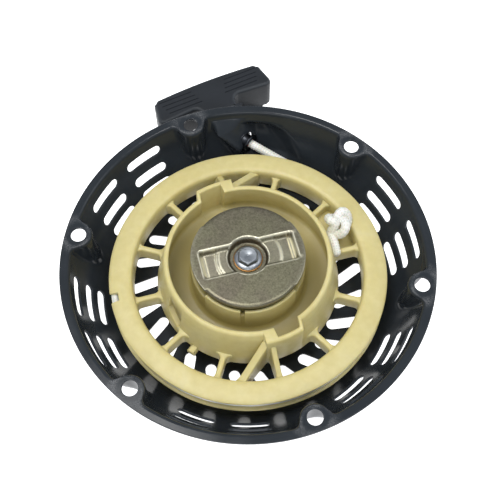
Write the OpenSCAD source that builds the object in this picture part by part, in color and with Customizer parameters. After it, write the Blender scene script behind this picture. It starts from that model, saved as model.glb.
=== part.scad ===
// Recoil starter of a small four-stroke engine.
// Z = 0 is the engine side of the flange. +Z points to the engine, and the hole circle's centre is the origin.

/* [Housing] */
// Outside diameter of the flange
flange_d = 205.2; // [204.6:0.2:208]
// Diameter of the circle through the mounting holes
hole_circle_d = 190; // [189:0.5:191]
// Diameter of each mounting hole
mount_hole_d = 8.4; // [6:0.1:9]
// Thickness of the pressed steel sheet
sheet_t = 1.6; // [1.2:0.1:1.8]
// Inside depth of the bowl, flange face to back plate
bowl_depth = 41.5; // [41.5:0.1:43]
// Width of the ventilation slots in the bowl's wall
wall_slot_w = 5.8; // [4:0.1:6.4]
// Number of swept vents in the back plate
vent_count = 24; // [12:1:26]
// Width of the swept vents in the back plate
vent_w = 6.2; // [4:0.1:6.6]

/* [Reel] */
// Outside diameter of the rope flanges
reel_d = 155.4; // [155.4:0.1:156]
// Outside diameter of the drum round the starter cup, at its rim
drum_d = 91.8; // [91.4:0.1:92.4]
// Wall of the drum
drum_wall = 2.9; // [2:0.1:3.2]
// Thickness of the spokes
spoke_w = 3.5; // [2.5:0.1:5]
// Diameter of the rope
rope_d = 4.3; // [3.6:0.1:4.3]

/* [Clutch] */
// Diameter of the drive plate across its wide sectors
plate_d = 62.4; // [61:0.1:62.8]
// Thickness of the drive plate's steel
plate_t = 1.8; // [1.4:0.1:1.9]
// Direction of the channel pressed in the drive plate
channel_turn = 23.5; // [22:0.5:24]
// Width across the flats of the bolt's head
bolt_flats = 10; // [9:0.5:11]

/* [Handle] */
// Length of the handle's back edge
handle_l = 68; // [60:0.2:70]
// Thickness of the handle
handle_h = 22; // [19:0.5:23]
// Direction in which the handle is pulled
pull_turn = 124.5; // [124:0.1:125]

/* [Hidden] */
$fn = 96;
more = 1;                                  // overshoot of a cut past a face

// Bowl: its wall is an arc in section, round a centre inside the housing
flange_r = flange_d / 2;
wall_arc_r = 88;
wall_arc_c = [12.1, 20.9];
roll_r = 1.5;                              // inside radius of the bend at the flange
heel_r = 5;                                // inside radius of the bend at the back plate
dish_r = 20;                               // raised middle of the back plate
dish_h = 1.2;
floor_z = -bowl_depth;
sector_turn = 60;
slot_sectors = [30, 150, 210, 270, 330];
slot_inner_turn = 2.8;                     // slot ends, measured from the sector's middle
slot_outer_turn = 17.2;
slot_rows = [[94.7, -10, 20], [89.6, -21.2, 27.5], [84.2, -29.9, 33]];   // radius, height, lean
vent_mid_r = 57;
vent_reach = [-5.2, 10.2];                 // centres of a vent's round ends, along it from that radius
vent_lean = 28.4;
vent_turn = 3.6;
pad_inner_r = 87.3;
pad_nose_r = 8;
pad_points = concat(                       // a rounded nose that flares out to the flange
    [[112, -22], [112, 22], [101.5, 16], [98.5, 11.6], [95.4, 9]],
    arc_points([pad_inner_r + pad_nose_r, 0], pad_nose_r, 110, 250, 8),
    [[95.4, -9], [98.5, -11.6], [101.5, -16]]
);

// Reel
reel_r = reel_d / 2;
ring_inner_r = 64.5;
groove_r = 66.5;
groove_z = [-23.8, -16.3];
drum_r = drum_d / 2;
drum_top = 2;
drum_foot_r = 51.5;
web_z = [-24.6, -21];
hub_r = 33;
hub_rim_w = 2;
hub_top = 1.5;
hub_floor = -5.4;
skirt_z = -39.5;
drum_bore_foot_r = 48;                     // inside the drum, at the web
spring_wall_r = [41.6, 43.6];              // wall round the spring, under the web
spoke_count = 12;
spoke_turn = 24.34;
spoke_z = [-27, -17];
spoke_fillet = 3;
brace_top = -2.5;
brace_foot = -26.6;
brace_end = -17.3;                          // where a rib meets the ring
pocket_wall_r = 50.3;
pocket_r = 47.8;
rope_turns = 3;
rope_step_r = 3.2;
rope_step_z = 1.45;
rope_r = rope_d / 2;
rope_mid_z = -20.05;
knot_place = [46.9, 35.6, -9.7];
knot_r = 6.3;

// Post, bolt and plate stack
post_r = 8;
post_fit = 0.05;
arbor_r = 11;
arbor_z = -25.4;
post_top = -2;
screw_r = 3;
shoulder_r = 4;
plate_top = 5;
plate_floor = [-1.7, 0.1];                 // cup in the middle of the plate
cup_r = 11.4;
channel_half_w = 8.7;
channel_half_l = 25.7;
arm_floor = [[18, 2.2], [channel_half_l, 1.4]];   // radius to which each step of the channel reaches, its height
narrow_plate_r = 30.3;

// Pawls
pawl_pivot_r = 20;
pawl_turn = -35;
pawl_aim = 93;                             // from the pivot's radius to the pawl's length, folded in
pawl_l = 20;
pawl_root_r = 4.5;
pawl_tip_r = 2.2;
pawl_z = [-5.1, -0.7];
pawl_stub_r = 2;
pawl_window = [-26, 52];

// Handle, in its own frame: X along the pull, Y along the handle, at the middle of its back edge
handle_mid = [-46.5, 121.9];
handle_top = -10;
handle_bow = 1.6;
stem_end = -26;
bore_r = 2.9;
knot_seat = -9.2;

// Rope exit
eyelet_at = [-14.4, 89.0, -20];
eyelet_turn = 150;
eyelet_r = 4.4;
lead_turn = -25.1;                         // from the eyelet to where the rope meets the reel
exit_top = -7;
exit_points = [[-30, 104], [-38, 90], [-18.9, 81.2], [-10.9, 95.1]];
bay_z = [-28, -12];
bay_points = [[-10.9, 95.1], [-16, 84.5], [4, 86], [3, 92.5]];

function polar(r, a) = [r * cos(a), r * sin(a)];
function arc_points(c, r, a0, a1, n) = [for (i = [0:n]) c + polar(r, a0 + (a1 - a0) * i / n)];

function side_normal(a, b) = [b[1] - a[1], a[0] - b[0]] / norm(b - a);

// A closed outline, listed anticlockwise, with every side moved out by g
function grown(p, g) = [
    for (i = [0:len(p) - 1])
        let (
            here = p[i],
            n0 = side_normal(p[(i + len(p) - 1) % len(p)], here),
            n1 = side_normal(here, p[(i + 1) % len(p)])
        )
        here + g * (n0 + n1) / (1 + n0 * n1)
];

// Section of the bowl's skin, o = 0 inside and o = sheet_t outside, from the flange to the axis
function bowl_section(o) =
    let (
        roll_c_z = -(roll_r + sheet_t),
        roll_reach = wall_arc_r + roll_r + sheet_t,
        roll_c = [wall_arc_c[0] + sqrt(pow(roll_reach, 2) - pow(roll_c_z - wall_arc_c[1], 2)), roll_c_z],
        roll_a = asin((wall_arc_c[1] - roll_c_z) / roll_reach),
        heel_reach = wall_arc_r - heel_r,
        heel_c_z = floor_z + heel_r,
        heel_c = [wall_arc_c[0] + sqrt(pow(heel_reach, 2) - pow(heel_c_z - wall_arc_c[1], 2)), heel_c_z],
        heel_a = asin((wall_arc_c[1] - heel_c_z) / heel_reach)
    )
    concat(
        arc_points(roll_c, roll_r + sheet_t - o, 90, 180 - roll_a, 4),
        arc_points(wall_arc_c, wall_arc_r + o, -roll_a, -heel_a, 8),
        arc_points(heel_c, heel_r + o, -heel_a, -90, 4),
        [[0, floor_z - o]]
    );

module ring_sector(r0, r1, a0, a1) {
    n = max(2, ceil(abs(a1 - a0) / 4));
    polygon(concat(arc_points([0, 0], r1, a0, a1, n), arc_points([0, 0], r0, a1, a0, n)));
}

module tube(r0, r1, z0, z1) {
    translate([0, 0, z0])
        difference() {
            cylinder(r = r1, h = z1 - z0);
            translate([0, 0, -more]) cylinder(r = r0, h = z1 - z0 + 2 * more);
        }
}

// ---------------------------------------------------------------- housing

module pads(g, top) {
    for (k = [0:5])
        rotate(k * sector_turn)
            translate([0, 0, floor_z - 3])
                linear_extrude(top - floor_z + 3) polygon(grown(pad_points, g));
}

// Rope exit: a three-cornered pocket is pressed in, so that one face of it stands square to the rope
module exit_pocket(g, top) {
    translate([0, 0, floor_z - 3])
        linear_extrude(top - floor_z + 3) polygon(grown(exit_points, g));
}

// Beside the pocket the wall is bowed out, which gives the rope a straight way to the eyelet
module exit_bay(g) {
    translate([0, 0, bay_z[0] - g])
        linear_extrude(bay_z[1] - bay_z[0] + 2 * g) polygon(grown(bay_points, g));
}

// Slot with round ends, l long between the ends' centres
module slot_outline(l, w) {
    polygon(concat(
        arc_points([l / 2, 0], w / 2, -90, 90, 8),
        arc_points([-l / 2, 0], w / 2, 90, 270, 8)
    ));
}

// The row gives the radius, height and lean of the wall where the slot crosses it
module wall_slot(row, turn) {
    depth = 14;
    l = 2 * row[0] * sin((slot_outer_turn - slot_inner_turn) / 2) - wall_slot_w;
    rotate(turn)
        translate([row[0] - 0.5, 0, row[1]])
            rotate([0, 90 + row[2], 0])
                rotate(90)
                    translate([0, 0, -depth / 2])
                        linear_extrude(depth) slot_outline(l, wall_slot_w);
}

module wall_slots() {
    for (s = slot_sectors)
        for (row = slot_rows)
            for (side = [-1, 1])
                wall_slot(row, s + side * (slot_outer_turn + slot_inner_turn) / 2);
}

module vents() {
    translate([0, 0, floor_z - sheet_t - more])
        linear_extrude(sheet_t + 2 * more)
            for (k = [0:vent_count - 1])
                rotate(vent_turn + k * 360 / vent_count)
                    translate([vent_mid_r, 0])
                        rotate(vent_lean)
                            translate([(vent_reach[0] + vent_reach[1]) / 2, 0])
                                slot_outline(vent_reach[1] - vent_reach[0], vent_w);
}

module along_rope_exit() {
    translate(eyelet_at) rotate([0, 90, eyelet_turn]) children();
}

module starter_housing() {
    color("#24282d")
        difference() {
            union() {
                difference() {
                    union() {
                        rotate_extrude(convexity = 6)
                            polygon(concat([[0, 0], [flange_r, 0], [flange_r, -sheet_t]], bowl_section(sheet_t)));
                        exit_bay(sheet_t);
                    }
                    pads(-sheet_t, -sheet_t);
                    exit_pocket(0, exit_top - sheet_t);
                    translate([0, 0, floor_z - sheet_t - more])
                        cylinder(r = dish_r, h = dish_h + more);
                }
            }
            difference() {
                union() {
                    rotate_extrude(convexity = 6)
                        polygon(concat([[0, more], [flange_r - roll_r, more]], bowl_section(0)));
                    exit_bay(0);
                }
                pads(0, 0);
                exit_pocket(sheet_t, exit_top);
                translate([0, 0, floor_z - more])
                    cylinder(r = dish_r + sheet_t, h = dish_h + more);
            }
            for (k = [0:5])
                rotate(k * sector_turn)
                    translate([hole_circle_d / 2, 0, -sheet_t - more])
                        cylinder(d = mount_hole_d, h = sheet_t + 2 * more);
            wall_slots();
            vents();
            translate([0, 0, floor_z - sheet_t])
                cylinder(r = 6, h = sheet_t + dish_h + more);
            along_rope_exit() cylinder(r = eyelet_r, h = 12, center = true);
        }
}

// Post riveted to the back plate: the reel turns on it and the spring hooks on its thick foot
module center_post() {
    foot_z = floor_z + dish_h;
    color("#9a9ea3")
        difference() {
            union() {
                translate([0, 0, floor_z - sheet_t + 0.1]) cylinder(r = 9, h = dish_h - 0.1);
                translate([0, 0, floor_z - sheet_t + 0.5]) cylinder(r = 5.95, h = sheet_t + dish_h);
                translate([0, 0, foot_z]) cylinder(r = 14, h = 2.5);
                translate([0, 0, foot_z]) cylinder(r = arbor_r, h = arbor_z - foot_z);
                translate([0, 0, arbor_z - more]) cylinder(r = post_r, h = post_top - arbor_z + more);
            }
            translate([0, 0, -19]) cylinder(r = screw_r, h = 30);
            rotate(-14) translate([4, -0.6, -37]) cube([10, 1.2, 11]);
        }
}

module rope_eyelet() {
    color("#3a3d42")
        along_rope_exit()
            difference() {
                union() {
                    translate([0, 0, -2.9]) cylinder(r = eyelet_r - 0.05, h = 3.6);
                    translate([0, 0, -sheet_t - 1.55]) cylinder(r = eyelet_r + 1.6, h = 1.5);
                    translate([0, 0, 0.05]) cylinder(r = eyelet_r + 1, h = 1);
                }
                cylinder(r = 3.1, h = 20, center = true);
            }
}

// ---------------------------------------------------------------- spring

function coil_r(t) = t < 1.5 ? 14 + t * 9 : 27.5 + (t - 1.5) * 2.1;

module recoil_spring() {
    turns = 7.5;
    steps_per_turn = 24;
    strip = 0.7;
    n = turns * steps_per_turn;
    inside = [for (i = [0:n]) polar(coil_r(i / steps_per_turn), i * 360 / steps_per_turn)];
    outside = [for (i = [n:-1:0]) polar(coil_r(i / steps_per_turn) + strip, i * 360 / steps_per_turn)];
    color("#6d7076")
        translate([0, 0, -37.2]) {
            linear_extrude(11, convexity = 20) polygon(concat(inside, outside));
            // Inner hook, in the post's slot
            translate([0, 0, 0.4])
                linear_extrude(10)
                    polygon([
                        polar(6, -17.3), polar(14.3, -15.4), polar(14.4, 1), polar(13.9, 0),
                        polar(13.6, -12.5), polar(6, -10.7)
                    ]);
        }
}

module thrust_washer() {
    color("#b9bcc0") tube(post_r + 0.1, 12, arbor_z, web_z[0] - 0.05);
}

// ---------------------------------------------------------------- reel

// Thin rib from the drum to the ring that spreads out at both ends
module rib(r0, r1, w) {
    f = spoke_fillet;
    polygon(concat(
        [[r0 - 2, -w / 2 - f]],
        arc_points([r0 + f, -w / 2 - f], f, 180, 90, 4),
        arc_points([r1 - f, -w / 2 - f], f, 90, 0, 4),
        [[r1 + 1, -w / 2 - f], [r1 + 1, w / 2 + f]],
        arc_points([r1 - f, w / 2 + f], f, 0, -90, 4),
        arc_points([r0 + f, w / 2 + f], f, -90, -180, 4),
        [[r0 - 2, w / 2 + f]]
    ));
}

// Straight rib between two points, whose top runs down from one height to another
module brace(from, to, w, from_z, to_z) {
    d = to - from;
    translate(from)
        rotate([90, 0, atan2(d[1], d[0])])
            translate([0, 0, -w / 2])
                linear_extrude(w)
                    polygon([[0, brace_foot], [norm(d), brace_foot], [norm(d), to_z], [0, from_z]]);
}

module in_layer(z) {
    translate([0, 0, z[0]]) linear_extrude(z[1] - z[0], convexity = 8) children();
}

module reel_ring() {
    rotate_extrude(convexity = 6)
        polygon(concat(
            [[ring_inner_r, -27], [ring_inner_r, -16.5]],
            arc_points([ring_inner_r + 3, -16.2], 3, 175, 95, 5),
            [
                [70.5, -13.1], [74.5, -13.5], [reel_r, -14.3], [reel_r, -15.9],
                [groove_r, groove_z[1]], [groove_r, groove_z[0]],
                [reel_r, -24.2], [reel_r, -25.8]
            ]
        ));
}

module reel_drum() {
    rotate_extrude(convexity = 6)
        polygon([
            [drum_r - drum_wall, drum_top], [drum_r, drum_top], [drum_foot_r, web_z[0]],
            [spring_wall_r[1], web_z[0]], [spring_wall_r[1], skirt_z],
            [spring_wall_r[0], skirt_z], [spring_wall_r[0], web_z[0]],
            [30, web_z[0]], [30, web_z[1]], [drum_bore_foot_r, web_z[1]]
        ]);
}

// Square pockets for the starter cup's lugs, each with a solid block beside it
module pocket_blocks() {
    for (half = [0, 180])
        rotate(half)
            in_layer([web_z[0], drum_top]) {
                ring_sector(44, pocket_wall_r, -70.1, -60);
                ring_sector(44, pocket_wall_r, -63, -43);
            }
}

module pocket_cuts() {
    for (half = [0, 180])
        rotate(half)
            in_layer([web_z[1], drum_top + more]) ring_sector(38, pocket_r, -61.9, -45);
}

module reel_body() {
    difference() {
        union() {
            reel_drum();
            translate([0, 0, web_z[0]]) cylinder(r = hub_r, h = hub_floor - web_z[0]);
            tube(hub_r - hub_rim_w, hub_r, hub_floor - more, hub_top);
            pocket_blocks();
            in_layer(spoke_z)
                for (k = [0:spoke_count - 1])
                    rotate(spoke_turn + k * 360 / spoke_count) rib(50, ring_inner_r, spoke_w);
            // Two ribs run up the side of each solid block
            for (half = [0, 180]) {
                brace(polar(48.5, half - 69.5), polar(ring_inner_r + 1, half - 84.6), 4, brace_top, brace_end);
                brace(polar(49, half - 65.66), polar(ring_inner_r + 0.5, half - 65.66), 3, brace_top, brace_end);
            }
            // Floor of the cell that holds the knot
            in_layer([-26, -23.5]) ring_sector(49, 65.5, spoke_turn, spoke_turn + 30);
            // Small gusset under the window
            in_layer([-27, -22.5]) ring_sector(50, 55, -118, -112);
        }
        pocket_cuts();
        // Starter cup's running space
        rotate_extrude()
            polygon([
                [hub_r, web_z[1]], [drum_bore_foot_r - 0.1, web_z[1]],
                [drum_r - drum_wall, drum_top + 0.01], [drum_r - drum_wall, 6], [hub_r, 6]
            ]);
        // Room for the pawls to swing out through the hub's rim
        for (half = [0, 180])
            rotate(half)
                in_layer([hub_floor, hub_top + more])
                    ring_sector(hub_r - hub_rim_w - more, hub_r + more, pawl_window[0], pawl_window[1]);
        // Small notch in the hub's rim
        in_layer([-3, hub_top + more]) ring_sector(30, 34, -88, -84);
        for (half = [0, 180])
            rotate(half + pawl_turn)
                translate([pawl_pivot_r, 0, 0]) {
                    translate([0, 0, -11.6]) cylinder(r = pawl_stub_r + post_fit, h = 10);
                    translate([0, 0, -8.6]) cylinder(r = 4.6, h = 5);
                    rotate(200) translate([3, -0.8, -8.6]) cube([6.5, 1.6, 5]);
                }
        translate([0, 0, web_z[0] - more]) cylinder(r = post_r + post_fit, h = 30);
        // Window in the drum's flared wall
        in_layer([-15, -6]) ring_sector(44, 54, -143, -129);
        // Slot in the spring's wall for its outer end
        in_layer([skirt_z - more, -26]) ring_sector(38, 46, 171, 174);
    }
}

module reel() {
    color("#dccf93") {
        difference() {
            union() {
                reel_body();
                reel_ring();
            }
            // Notch that parks the rope
            in_layer([-17, -12]) ring_sector(73.1, 80, -160, -156);
            // Hole from the groove into the knot's cell
            rotate(46) translate([60, 0, rope_mid_z]) rotate([0, 90, 0]) cylinder(r = 2.6, h = 12);
        }
    }
}

// ---------------------------------------------------------------- rope

module rope_wound() {
    color("#eceae2")
        for (k = [0:rope_turns - 1])
            rotate_extrude()
                translate([
                    groove_r + 0.1 + rope_r + k * rope_step_r,
                    rope_mid_z + (k % 2 == 0 ? rope_step_z : -rope_step_z)
                ])
                    circle(r = rope_r, $fn = 32);
}

module rope_bar(from, to) {
    d = to - from;
    flat = norm([d[0], d[1]]);
    translate(from)
        rotate([0, atan2(flat, d[2]), atan2(d[1], d[0])])
            cylinder(r = rope_r, h = norm(d), $fn = 32);
}

// From just off the wound turns to the outside of the eyelet
module rope_lead() {
    way = [cos(lead_turn), sin(lead_turn), 0];
    color("#eceae2") {
        rope_bar(eyelet_at + 22.5 * way, eyelet_at - 4.2 * way);
    }
}

// The stopper knot in its cell, with its loose end along the drum
module reel_knot() {
    color("#eceae2") {
        translate(knot_place) sphere(r = knot_r, $fn = 48);
        rope_bar([45.3, 31, -13], [48.9, 17.6, -14.6]);
    }
}

module on_handle() {
    translate([handle_mid[0], handle_mid[1], 0]) rotate(pull_turn) children();
}

module handle_rope() {
    out = [cos(eyelet_turn), sin(eyelet_turn), 0];
    mid_z = handle_top - handle_h / 2;
    back = [cos(pull_turn), sin(pull_turn), 0];
    middle = [handle_mid[0], handle_mid[1], mid_z];
    bend = middle + (stem_end - 0.6) * back;
    color("#eceae2") {
        rope_bar(eyelet_at + 4.6 * out, bend);
        translate(bend) rotate(45) sphere(r = rope_r + 0.3, $fn = 32);
        rope_bar(bend, middle + (knot_seat + 1.4) * back);
    }
}

// ---------------------------------------------------------------- handle

module handle_outline() {
    half = handle_l / 2;
    bow_r = (pow(half, 2) + pow(handle_bow, 2)) / (2 * handle_bow);
    bow_a = asin((half - 2) / bow_r);
    polygon(concat(
        arc_points([handle_bow - bow_r, 0], bow_r, -bow_a, bow_a, 10),
        [
            [-1.8, half + 0.5], [-14, half + 3.2], [-16.6, half + 2.5], [-17.4, half + 0.4],
            [-15.8, 14.4], [-16.6, 12.4], [-18.4, 11.2], [stem_end, 10.3],
            [stem_end, -10.3], [-18.4, -11.2], [-16.6, -12.4], [-15.8, -14.4],
            [-17.4, -half - 0.4], [-16.6, -half - 2.5], [-14, -half - 3.2], [-1.8, -half - 0.5]
        ]
    ));
}

module handle_grip() {
    mid_z = handle_top - handle_h / 2;
    color("#3f444b")
        on_handle()
            difference() {
                translate([0, 0, handle_top - handle_h]) linear_extrude(handle_h) handle_outline();
                translate([0, 0, mid_z])
                    rotate([0, 90, 0]) {
                        translate([0, 0, stem_end - more]) cylinder(r = bore_r, h = 30);
                        translate([0, 0, knot_seat]) cylinder(r = 6.5, h = 15);
                    }
                // Grip lines
                for (side = [-1, 1])
                    for (k = [0:3])
                        translate([-3 - 3.1 * k, side * (21.5 - k), handle_top - 0.3])
                            cube([0.6, 17, 1], center = true);
            }
}

module handle_washer() {
    color("#a9acb0")
        on_handle()
            translate([knot_seat, 0, handle_top - handle_h / 2])
                rotate([0, 90, 0])
                    difference() {
                        cylinder(r = 6.3, h = 1.2);
                        translate([0, 0, -more]) cylinder(r = 2.6, h = 4);
                    }
}

module handle_knot() {
    color("#eceae2")
        on_handle()
            translate([-2.9, 0, handle_top - handle_h / 2]) sphere(r = 4.95, $fn = 48);
}

// ---------------------------------------------------------------- clutch

module drive_plate() {
    disc_z = [plate_top - plate_t, plate_top];
    color("#8f8979")
        rotate(channel_turn)
            difference() {
                union() {
                    in_layer(disc_z) {
                        circle(r = narrow_plate_r);
                        for (half = [0, 180]) rotate(half - channel_turn) ring_sector(2, plate_d / 2, -26, 52);
                    }
                    // Edges turned down along the narrow sectors
                    for (half = [0, 180])
                        rotate(half - channel_turn)
                            in_layer([1.9, disc_z[1] - 0.5])
                                ring_sector(narrow_plate_r - 1.4, narrow_plate_r - 0.15, 54, 152);
                    in_layer([arm_floor[1][1] - plate_t, disc_z[1] - 0.5])
                        square(2 * [arm_floor[1][0] + plate_t, channel_half_w + plate_t], center = true);
                    translate([0, 0, plate_floor[0]])
                        cylinder(r = cup_r + plate_t, h = disc_z[1] - 0.5 - plate_floor[0]);
                }
                in_layer([arm_floor[0][1], plate_top + more])
                    square(2 * [channel_half_l, channel_half_w], center = true);
                // Outer steps of the channel, lower than the inner ones
                in_layer([arm_floor[1][1], arm_floor[0][1] + 0.2])
                    difference() {
                        square(2 * [channel_half_l, channel_half_w], center = true);
                        circle(r = arm_floor[0][0]);
                    }
                translate([0, 0, plate_floor[1]]) cylinder(r = cup_r, h = 8);
                translate([0, 0, plate_floor[0] - more]) cylinder(r = shoulder_r + post_fit, h = 8);
            }
}

// Local frame: the pivot at the origin, the nose along +X
module pawl() {
    flank = asin((pawl_root_r - pawl_tip_r) / pawl_l);
    side = [
        pawl_root_r * [sin(flank), cos(flank)],
        [pawl_l, 0] + pawl_tip_r * [sin(flank), cos(flank)]
    ];
    in_layer(pawl_z) {
        circle(r = pawl_root_r);
        translate([pawl_l, 0]) circle(r = pawl_tip_r);
        polygon([side[0], side[1], [side[1][0], -side[1][1]], [side[0][0], -side[0][1]]]);
    }
    translate([0, 0, -11.2]) cylinder(r = pawl_stub_r, h = pawl_z[0] + 11.2 + more);
    translate([8, 0, pawl_z[1] - more]) cylinder(r = 1.5, h = 2.6 - pawl_z[1] + more);
}

module at_pawl(half) {
    rotate(half + pawl_turn) translate([pawl_pivot_r, 0, 0]) children();
}

module pawl_a() {
    color("#77797d") at_pawl(0) rotate(pawl_aim) pawl();
}

module pawl_b() {
    color("#77797d") at_pawl(180) rotate(pawl_aim) pawl();
}

module pawl_spring() {
    wire_r = 0.4;
    for (k = [0:2])
        translate([0, 0, -8.1 + 0.9 * k])
            rotate_extrude() translate([3.5, 0]) circle(r = wire_r, $fn = 16);
    rotate(200) translate([3.5, 0, -8.1]) rotate([0, 90, 0]) cylinder(r = wire_r, h = 5.5, $fn = 16);
}

module pawl_spring_a() {
    color("#b4b7bb") at_pawl(0) pawl_spring();
}

module pawl_spring_b() {
    color("#b4b7bb") at_pawl(180) pawl_spring();
}

// Cone washer that drags the plate
module friction_spring() {
    color("#a4a6a8")
        rotate_extrude()
            polygon([[post_r + 0.6, -2.5], [12.8, -5.2], [12.8, -4.7], [post_r + 0.6, -2]]);
}

module brass_washer() {
    color("#b9803e") tube(shoulder_r + 0.1, 9.8, plate_floor[1] + 0.05, 0.95);
}

module clamp_bolt() {
    collar_z = [0.95, 2.3];
    head_r = bolt_flats / 2 / cos(30);
    color("#c9cdd2")
        union() {
            intersection() {
                translate([0, 0, collar_z[1] - 0.3]) cylinder(r = head_r, h = plate_top - collar_z[1] + 0.3, $fn = 6);
                translate([0, 0, -1]) cylinder(r1 = head_r + 6.9, r2 = bolt_flats / 2 - 0.1, h = plate_top + 1);
            }
            translate([0, 0, collar_z[0]]) cylinder(r = 7.6, h = 0.7);
            translate([0, 0, collar_z[0] + 0.7]) cylinder(r1 = 7.6, r2 = 6.2, h = 0.65);
            translate([0, 0, post_top]) cylinder(r = shoulder_r, h = collar_z[0] - post_top + 0.1);
            translate([0, 0, -17]) cylinder(r = screw_r - 0.05, h = 17);
        }
}

starter_housing();
center_post();
rope_eyelet();
recoil_spring();
thrust_washer();
reel();
rope_wound();
rope_lead();
reel_knot();
handle_rope();
handle_grip();
handle_washer();
handle_knot();
drive_plate();
pawl_a();
pawl_b();
pawl_spring_a();
pawl_spring_b();
friction_spring();
brass_washer();
clamp_bolt();
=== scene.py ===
"""Looks of the recoil starter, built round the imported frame.

Lengths are in millimetres until a mesh is made.
"""

import math

import bmesh
import bpy
import numpy as np
from mathutils import Matrix, Vector, geometry


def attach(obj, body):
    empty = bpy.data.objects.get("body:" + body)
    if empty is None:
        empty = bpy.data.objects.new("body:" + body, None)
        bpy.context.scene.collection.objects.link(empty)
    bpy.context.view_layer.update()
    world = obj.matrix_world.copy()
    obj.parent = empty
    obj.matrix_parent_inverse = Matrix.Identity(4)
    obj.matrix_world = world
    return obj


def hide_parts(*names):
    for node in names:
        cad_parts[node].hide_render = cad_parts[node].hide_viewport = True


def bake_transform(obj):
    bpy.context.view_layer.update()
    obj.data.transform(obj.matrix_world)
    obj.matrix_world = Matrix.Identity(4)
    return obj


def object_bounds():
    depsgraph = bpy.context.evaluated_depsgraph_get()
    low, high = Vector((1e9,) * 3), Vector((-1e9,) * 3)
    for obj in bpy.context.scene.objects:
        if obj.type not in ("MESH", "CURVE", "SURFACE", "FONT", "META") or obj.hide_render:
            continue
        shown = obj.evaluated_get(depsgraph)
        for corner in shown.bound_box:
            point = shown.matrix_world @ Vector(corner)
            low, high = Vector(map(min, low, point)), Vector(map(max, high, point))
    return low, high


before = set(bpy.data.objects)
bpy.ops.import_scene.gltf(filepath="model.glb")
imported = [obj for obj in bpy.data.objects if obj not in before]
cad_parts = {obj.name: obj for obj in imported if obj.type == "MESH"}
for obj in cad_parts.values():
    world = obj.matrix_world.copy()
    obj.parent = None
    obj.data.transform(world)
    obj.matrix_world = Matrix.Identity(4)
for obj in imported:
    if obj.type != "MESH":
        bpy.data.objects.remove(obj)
cad_low, cad_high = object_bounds()

MM = 0.001


# ---- small maths

def step(x, a, b):
    """0 below a, 1 above b, and smooth between."""
    t = np.clip((x - a) / (b - a), 0, 1)
    return t * t * (3 - 2 * t)


def soft_min(a, b, k):
    h = np.clip(0.5 + 0.5 * (b - a) / k, 0, 1)
    return b + (a - b) * h - k * h * (1 - h)


def soft_max(a, b, k):
    return -soft_min(-a, -b, k)


def unit(v):
    return v / np.maximum(np.linalg.norm(v, axis=-1, keepdims=True), 1e-12)


def turned(points, degrees):
    c, s = math.cos(math.radians(degrees)), math.sin(math.radians(degrees))
    points = np.asarray(points, float)
    return np.stack([c * points[..., 0] - s * points[..., 1], s * points[..., 0] + c * points[..., 1]], -1)


def polar(r, degrees):
    """Points in plan, at a radius and an angle."""
    a = np.radians(degrees)
    return np.stack([r * np.cos(a), r * np.sin(a)], -1)


def cylindrical(r, degrees, z):
    a = np.radians(degrees)
    return np.stack([r * np.cos(a), r * np.sin(a), z], -1)


def polar_of(points):
    """Angles and radii of points in plan."""
    return np.degrees(np.arctan2(points[:, 1], points[:, 0])), np.hypot(points[:, 0], points[:, 1])


def arc(centre, radius, a0, a1, n):
    """n + 1 points on an arc, angles in degrees."""
    return polar(radius, np.linspace(a0, a1, n + 1)) + centre


def circle(radius, n, centre=(0, 0)):
    return arc(centre, radius, 0, 360, n)[:-1]


def nearest(theta, spacing):
    """Signed angle to the nearest multiple of spacing, in degrees."""
    return (theta + spacing / 2) % spacing - spacing / 2


def rounded(corners, radii, n=4):
    """A closed outline with each corner turned into an arc of n + 1 points."""
    corners = np.asarray(corners, float)
    out = []
    for i, here in enumerate(corners):
        to_last = corners[i - 1] - here
        to_next = corners[(i + 1) % len(corners)] - here
        l0, l1 = max(np.hypot(*to_last), 1e-9), max(np.hypot(*to_next), 1e-9)
        reach = min(radii[i], 0.45 * l0, 0.45 * l1)
        p0, p2 = here + to_last / l0 * reach, here + to_next / l1 * reach
        for t in np.linspace(0, 1, n + 1):
            out.append((1 - t) ** 2 * p0 + 2 * t * (1 - t) * (0.25 * (p0 + p2) + 0.5 * here) + t * t * p2)
    return np.array(out)


def grown(outline, g):
    """An anticlockwise outline with every side moved out by g."""
    outline = np.asarray(outline, float)
    side = np.roll(outline, -1, 0) - outline
    normal = unit(np.stack([side[:, 1], -side[:, 0]], -1))
    last = np.roll(normal, 1, 0)
    share = 1 + np.sum(normal * last, -1, keepdims=True)
    return outline + g * (normal + last) / np.maximum(share, 0.3)


def inside(points, outline):
    """Which points lie in a closed outline."""
    x, y = points[:, 0], points[:, 1]
    found = np.zeros(len(points), bool)
    for (x0, y0), (x1, y1) in zip(outline, np.roll(outline, -1, 0)):
        if y0 != y1:
            found ^= ((y0 > y) != (y1 > y)) & (x < (x1 - x0) * (y - y0) / (y1 - y0) + x0)
    return found


# ---- pieces

def make_mesh(name, points, faces, normals=None):
    """A closed mesh with its faces turned outwards."""
    mesh = bpy.data.meshes.new(name)
    mesh.from_pydata((np.asarray(points, float) * MM).tolist(), [], faces)
    bm = bmesh.new()
    bm.from_mesh(mesh)
    bmesh.ops.recalc_face_normals(bm, faces=bm.faces)
    bm.to_mesh(mesh)
    bm.free()
    mesh.shade_smooth()
    if normals is not None:
        mesh.normals_split_custom_set_from_vertices(np.asarray(normals, float).tolist())
    return mesh


def point_values(mesh, name, values):
    """Gives each point a number that a material can read."""
    mesh.attributes.new(name, "FLOAT", "POINT").data.foreach_set("value", values)


def new_object(name, data):
    obj = bpy.data.objects.new(name, data)
    bpy.context.scene.collection.objects.link(obj)
    return obj


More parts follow.
